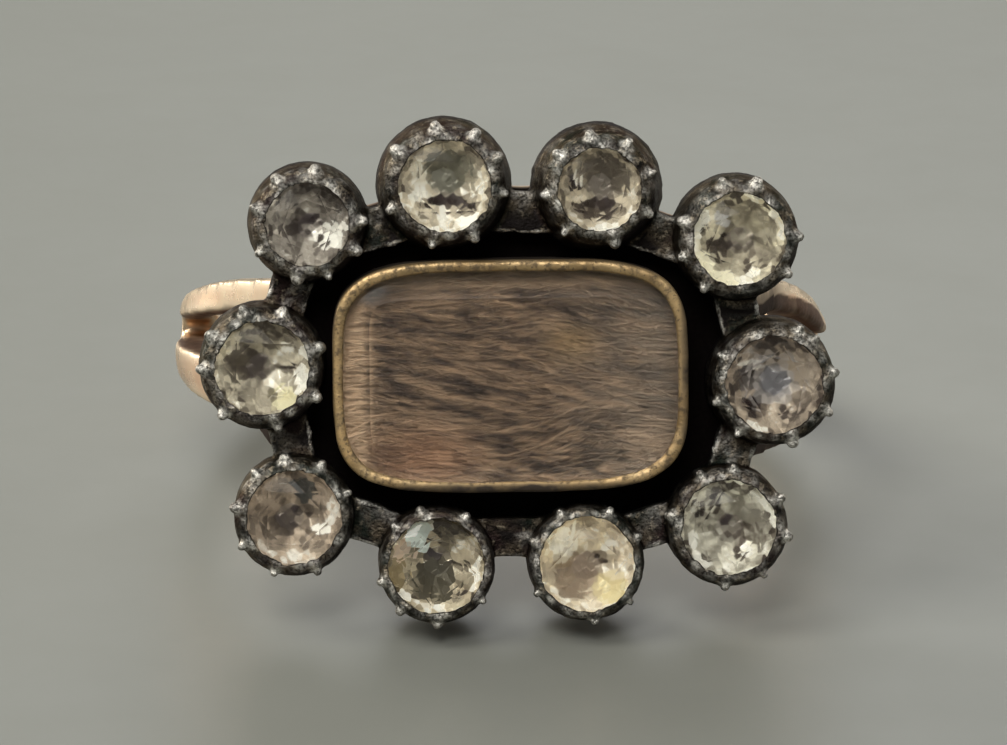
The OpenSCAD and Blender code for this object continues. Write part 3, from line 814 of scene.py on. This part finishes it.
# For each stone: pale and dull colour of its foil, shift of its culet in mm, and the spots on
# the foil, which are painted reflections, glints and shade. Each spot has x and y of its middle,
# half width and half height in shares of the radius, brightness and sometimes a colour.
LOOKS = [
    # Stone 1
    ((0.459, 0.425, 0.374), (0.063, 0.0504, 0.042), (0.05, -0.03), [
        (0, 0.75, 0.5, 0.25, 0.42),
        (-0.6, 0.24, 0.22, 0.2, 0.62),
        (-0.6, -0.5, 0.3, 0.25, 0.7),
        (0.5, 0.5, 0.3, 0.3, 0.28),
        (0.04, 0.12, 0.2, 0.16, 0.06),
        (0.18, -0.18, 0.13, 0.11, 2.2),
        (0.5, -0.36, 0.16, 0.13, 2.3),
        (-0.15, 0.45, 0.12, 0.2, 0.6),
        (0.62, -0.06, 0.3, 0.07, 2.2),
        (0.2, -0.6, 0.25, 0.15, 0.7),
        (-0.3, -0.05, 0.16, 0.22, 0.2),
    ]),
    # Stone 2
    ((0.748, 0.68, 0.5355), (0.0882, 0.0714, 0.0546), (0.02, 0.1), [
        (0.05, 0.1, 0.72, 0.72, 1),
        (0.08, 0.22, 0.42, 0.38, 0.34, (0.15, 0.15, 0.11625)),
        (0.06, -0.33, 0.5, 0.14, 0.05),
        (0.6, 0.55, 0.3, 0.25, 0.4),
        (-0.6, 0.6, 0.2, 0.25, 0.5),
        (0.44, -0.72, 0.28, 0.2, 1.8),
        (-0.16, -0.85, 0.3, 0.12, 1.3),
        (-0.71, -0.32, 0.2, 0.25, 1.2),
        (0.72, -0.62, 0.06, 0.07, 0.02),
    ]),
    # Stone 3
    ((0.68, 0.612, 0.476), (0.0882, 0.0714, 0.0546), (0.03, 0.08), [
        (0, -0.1, 0.8, 0.8, 0.75),
        (0.12, 0.24, 0.45, 0.42, 0.36, (0.1425, 0.12375, 0.10125)),
        (-0.5, 0.16, 0.11, 0.2, 0.02),
        (-0.4, 0.22, 0.035, 0.16, 2.2),
        (-0.02, -0.36, 0.45, 0.16, 0.1),
        (0.16, -0.82, 0.35, 0.18, 1.4),
        (0.62, -0.6, 0.2, 0.2, 1.1),
        (0, 0.85, 0.3, 0.12, 1),
        (-0.75, -0.2, 0.15, 0.25, 0.5),
    ]),
    # Stone 4
    ((0.85, 0.799, 0.629), (0.1176, 0.0987, 0.0756), (0.08, -0.03), [
        (0.2, 0.04, 0.56, 0.54, 0.42),
        (-0.82, -0.08, 0.16, 0.25, 1.7),
        (-0.64, -0.5, 0.24, 0.24, 1.9, (1, 0.96, 0.72)),
        (-0.3, -0.76, 0.3, 0.2, 2, (1, 0.96, 0.72)),
        (0.05, -0.84, 0.25, 0.14, 1.7),
        (-0.34, -0.16, 0.22, 0.18, 0.12),
        (0.36, 0.8, 0.25, 0.13, 1.3),
        (0.74, 0.54, 0.18, 0.2, 1.4),
        (0.82, 0.12, 0.13, 0.25, 1.3),
        (-0.72, 0.4, 0.22, 0.24, 1.5, (0.8, 0.82, 0.78)),
        (-0.32, 0.38, 0.11, 0.12, 1.1, (0.525, 0.54, 0.585)),
        (-0.32, 0.06, 0.09, 0.08, 0),
        (0.28, -0.56, 0.14, 0.09, 1.5),
    ]),
    # Stone 5
    ((0.595, 0.51, 0.408), (0.0924, 0.0735, 0.0588), (0.1, 0.08), [
        (-0.08, 0.63, 0.24, 0.2, 0.27),
        (0, 0.02, 0.42, 0.42, 0.8, (0.45, 0.4275, 0.4125)),
        (0.02, 0.02, 0.3, 0.3, 0.35, (0.075, 0.07875, 0.09375)),
        (-0.44, 0.08, 0.16, 0.18, 0.02),
        (-0.32, -0.34, 0.14, 0.18, 0.03),
        (-0.38, 0.33, 0.24, 0.045, 2.2),
        (-0.4, -0.8, 0.25, 0.14, 1.3),
        (0.1, -0.38, 0.09, 0.07, 1.3),
        (0.6, 0.3, 0.25, 0.35, 0.6),
    ]),
    # Stone 6
    ((0.714, 0.697, 0.595), (0.0882, 0.0714, 0.0546), (0.05, -0.06), [
        (0.63, 0.48, 0.25, 0.26, 1.1),
        (0.83, 0.14, 0.12, 0.2, 1.6),
        (0.12, 0.92, 0.3, 0.12, 1.5),
        (-0.67, -0.04, 0.2, 0.25, 0.8),
        (0.34, 0, 0.4, 0.38, 0.38),
        (-0.4, 0.28, 0.11, 0.1, 0.02),
        (-0.24, 0.5, 0.08, 0.07, 0.05),
        (-0.02, 0.08, 0.08, 0.12, 0.05),
        (-0.6, -0.28, 0.09, 0.14, 2.2),
        (-0.48, -0.62, 0.1, 0.16, 2.2),
        (0.4, -0.46, 0.2, 0.13, 1.2),
        (-0.6, 0.75, 0.25, 0.15, 0.9),
    ]),
    # Stone 7
    ((0.765, 0.6885, 0.544), (0.1512, 0.1197, 0.0903), (-0.04, -0.08), [
        (0, 0, 1.1, 1.1, 0.85),
        (-0.16, -0.2, 0.42, 0.4, 0.5, (0.225, 0.16875, 0.12375)),
        (-0.46, 0.34, 0.24, 0.34, 1.7),
        (-0.2, 0.5, 0.04, 0.28, 2.2),
        (0.3, 0.08, 0.2, 0.12, 0.35),
        (0.22, 0.12, 0.05, 0.05, 0.02),
        (0.38, 0.02, 0.05, 0.04, 0.02),
        (0.44, -0.48, 0.32, 0.24, 1.1, (0.6375, 0.555, 0.285)),
        (0.95, -0.16, 0.12, 0.2, 1.6),
        (0.5, 0.65, 0.25, 0.2, 0.75),
    ]),
    # Stone 8
    ((0.6375, 0.561, 0.408), (0.0714, 0.0567, 0.0378), (0.05, 0.1), [
        (0.24, 0.68, 0.4, 0.25, 0.3),
        (-0.04, -0.24, 0.4, 0.36, 0.2, (0.06375, 0.05625, 0.03375)),
        (-0.04, 0.16, 0.17, 0.1, 0),
        (-0.3, 0.56, 0.24, 0.32, 2.4, (0.84, 1, 1)),
        (-0.6, 0.26, 0.2, 0.2, 1.1, (0.75, 0.585, 0.45)),
        (0.72, -0.16, 0.14, 0.3, 1.2),
        (0.5, 0.2, 0.2, 0.25, 0.7),
        (-0.66, -0.56, 0.14, 0.12, 2.2),
        (0.1, -0.75, 0.4, 0.14, 0.9),
        (-0.7, -0.15, 0.2, 0.25, 0.5, (0.2625, 0.2025, 0.0975)),
        (0.45, -0.7, 0.25, 0.15, 0.7),
    ]),
    # Stone 9
    ((0.578, 0.4845, 0.3825), (0.084, 0.0672, 0.0525), (-0.1, 0), [
        (0, 0, 1.1, 1.1, 0.6),
        (0.2, 0.48, 0.22, 0.2, 0.16, (0.075, 0.0825, 0.0825)),
        (-0.24, -0.16, 0.3, 0.28, 0.26),
        (0.08, 0.08, 0.14, 0.1, 0),
        (-0.16, 0.55, 0.08, 0.08, 1.8),
        (0.5, -0.24, 0.09, 0.08, 2.2),
        (0.74, 0.16, 0.2, 0.25, 1.1),
        (-0.6, 0.5, 0.25, 0.25, 0.75),
        (0, -0.75, 0.5, 0.17, 0.9),
        (-0.55, -0.6, 0.2, 0.12, 0.9),
        (0.3, 0.1, 0.2, 0.1, 0.3),
    ]),
    # Stone 10
    ((0.7055, 0.6545, 0.527), (0.0798, 0.0651, 0.0504), (-0.03, 0.02), [
        (0.24, 0.63, 0.45, 0.3, 0.36),
        (-0.24, 0.08, 0.36, 0.32, 0.24),
        (0.78, 0.28, 0.18, 0.13, 2.1),
        (0.75, -0.2, 0.2, 0.24, 2),
        (0.24, -0.24, 0.15, 0.16, 1.5),
        (0.38, -0.58, 0.24, 0.24, 1.4, (0.675, 0.63, 0.375)),
        (-0.63, 0.48, 0.22, 0.25, 0.8),
        (-0.75, -0.16, 0.18, 0.18, 1),
        (-0.08, -0.65, 0.28, 0.22, 0.5),
        (0.45, 0, 0.12, 0.03, 0.1),
    ]),
]


def spoke(radius, angle, height, shift=(0, 0)):
    turn = math.radians(angle)
    return (radius * math.cos(turn) + shift[0], radius * math.sin(turn) + shift[1], height)


def cut(stone, shift):
    """Points and faces of a stone round its own middle, with the number of faces above the girdle."""
    r, top, bottom = stone.radius - 0.01, stone.high[2] - stone.girdle, stone.low[2] - stone.girdle
    table_r, culet_r, band = 0.56 * r, 0.3 * r, 0.08
    star_r = table_r + 0.42 * (r - table_r)
    low_r = culet_r + 0.35 * (r - culet_r)
    # A facet's middle lies nearer to the axis than its corners, which are 45 degrees apart
    between = 22.5
    half = math.cos(math.radians(between))
    star_z = top * (r - star_r * half) / (r - table_r)
    low_z = -band + (bottom + band) * (r - low_r * half) / (r - culet_r * half)
    culet_z, part = 0.96 * bottom, (0.6 * shift[0], 0.6 * shift[1])
    points = [spoke(table_r * random.uniform(0.97, 1.02), 45 * i, top) for i in range(8)]
    points += [spoke(star_r, 45 * i + between, star_z - 0.01) for i in range(8)]
    points += [spoke(r, between * i, 0) for i in range(16)]
    points += [spoke(r, between * i, -band) for i in range(16)]
    points += [spoke(low_r, 45 * i + between, low_z, part) for i in range(8)]
    for i in range(8):
        uneven_r = culet_r * random.uniform(0.9, 1.05)
        points.append(spoke(uneven_r, 45 * i + between, culet_z, shift))
    # Where each ring of points starts, after the table's
    star, upper, lower, low, culet = 8, 16, 32, 48, 56
    faces = [tuple(range(8))]
    for i in range(8):
        faces.append((star + i, (i + 1) % 8, i))
        faces.append((star + (i + 7) % 8, upper + 2 * i, star + i, i))
        faces.append((upper + 2 * i, upper + 2 * i + 1, star + i))
        faces.append((upper + 2 * i + 1, upper + (2 * i + 2) % 16, star + i))
    above = len(faces)
    for i in range(16):
        faces.append((lower + i, lower + (i + 1) % 16, upper + (i + 1) % 16, upper + i))
    for i in range(8):
        faces.append((lower + 2 * i + 1, lower + 2 * i, low + i))
        faces.append((lower + (2 * i + 2) % 16, lower + 2 * i + 1, low + i))
        faces.append((low + (i + 7) % 8, culet + (i + 7) % 8, culet + i, low + i, lower + 2 * i))
    faces.append(tuple(reversed(range(culet, culet + 8))))
    return np.array(points), faces, above


def make_stones():
    lamp_tint = (0.96, 0.95, 0.91)
    paste = glass("old_paste", (0.98, 0.97, 0.94), lamp_tint, roughness=0.18, shine=0.22)
    clean = glass("clean_paste", (0.98, 0.98, 0.97), lamp_tint, roughness=0.01, shine=1)
    for number, (stone, (pale, dull, shift, spots)) in enumerate(zip(STONES, LOOKS), 1):
        points, faces, above = cut(stone, shift)
        turn = math.radians(stone.turn)
        spin = np.array([[math.cos(turn), math.sin(turn)], [-math.sin(turn), math.cos(turn)]])
        points[:, :2] = points[:, :2] @ spin
        piece = add_mesh(f"paste_{number}", points + [*stone.middle, stone.girdle], faces, False)
        mesh = piece.data
        # Painted reflection: each facet of the foil gets its own brightness
        give_layer(mesh, "tone", "FLOAT", "FACE", "value", random.uniform(0.4, 0.75, len(faces)))
        # The culet, which is the last face, is deeper in shade
        give_layer(mesh, "deep", "FLOAT", "FACE", "value", [1] * (len(faces) - 1) + [0.75])
        give_layer(mesh, "spread", "FLOAT_VECTOR", "POINT", "vector", points * [1, 1, 0] / stone.radius)
        mesh.polygons.foreach_set("material_index", [int(i >= above) for i in range(len(faces))])
        front = clean if number == CLEANED else paste
        add_piece(piece, stone.name, "paste", front, foil(f"foil_{number}", pale, dull, spots))


make_collets()
make_shank()
make_locket_case()
make_crystal()
make_hair()
make_stones()

# Floor, light and camera, all in metres

# What the lamps shine at
RING = Vector((0, -0.004, 0.006))
# Name, place, size, radiance and colour of each lamp
LAMPS = [
    ("key", (-0.16, -0.06, 0.26), 0.16, 6.5, (1, 0.97, 0.9)),
    ("front", (-0.04, -0.24, 0.27), 0.13, 12.5, (1, 0.98, 0.95)),
    ("fill", (0.28, -0.05, 0.14), 0.16, 0.6, (1, 1, 1)),
    ("back", (0.05, 0.26, 0.2), 0.2, 2, (1, 1, 1)),
    ("left", (-0.24, 0.2, 0.12), 0.18, 8, (1, 0.96, 0.88)),
    ("right", (0.24, 0.2, 0.1), 0.12, 5, (1, 0.96, 0.9)),
]


def make_floor():
    bpy.ops.mesh.primitive_plane_add(size=1.2, location=(0, 0.1, -0.00001))
    floor = bpy.context.object
    floor.name = "floor"
    m = Nodes("pale_floor")
    m.set(Base_Color=m.mix(m.grain(9, 3), (0.172, 0.177, 0.158), (0.184, 0.189, 0.169)))
    m.set(Roughness=m.range(m.grain(5, 4), 0.3, 0.7, 0.42, 0.5))
    floor.data.materials.append(m.material)


def make_lamp(name, place, size, radiance, colour):
    """A square lamp that faces the ring."""
    lamp = bpy.data.lights.new(name, "AREA")
    lamp.size = size
    lamp.energy = radiance * math.pi * size * size
    lamp.color = colour
    holder = new_object(name, lamp)
    holder.location = place
    holder.rotation_euler = (RING - Vector(place)).to_track_quat("-Z", "Y").to_euler()


def make_light():
    world = bpy.data.worlds.new("studio")
    world.use_nodes = True
    sky = world.node_tree.nodes["Background"]
    sky.inputs["Color"].default_value = (0.98, 1, 0.95, 1)
    sky.inputs["Strength"].default_value = 0.24
    bpy.context.scene.world = world
    for lamp in LAMPS:
        make_lamp(*lamp)


def make_camera():
    """The camera stands 15 cm away, 2.2 degrees to the left and 20.7 degrees up."""
    side, up, far = math.radians(-2.17), math.radians(20.73), 0.15
    head = Vector(to_world([0, 0, 9]))
    back = Vector((math.sin(side) * math.cos(up), -math.cos(side) * math.cos(up), math.sin(up)))
    data = bpy.data.cameras.new("camera")
    data.sensor_fit = "HORIZONTAL"
    data.sensor_width = 36
    data.lens = 191.9
    data.shift_x = -0.0093
    data.shift_y = -0.0023
    data.clip_start = 0.001
    data.clip_end = 10
    camera = new_object("camera", data)
    camera.location = head + back * far
    camera.rotation_euler = back.to_track_quat("Z", "Y").to_euler()
    bpy.context.scene.camera = camera


make_floor()
make_light()
make_camera()
bpy.context.scene.view_settings.view_transform = "Standard"
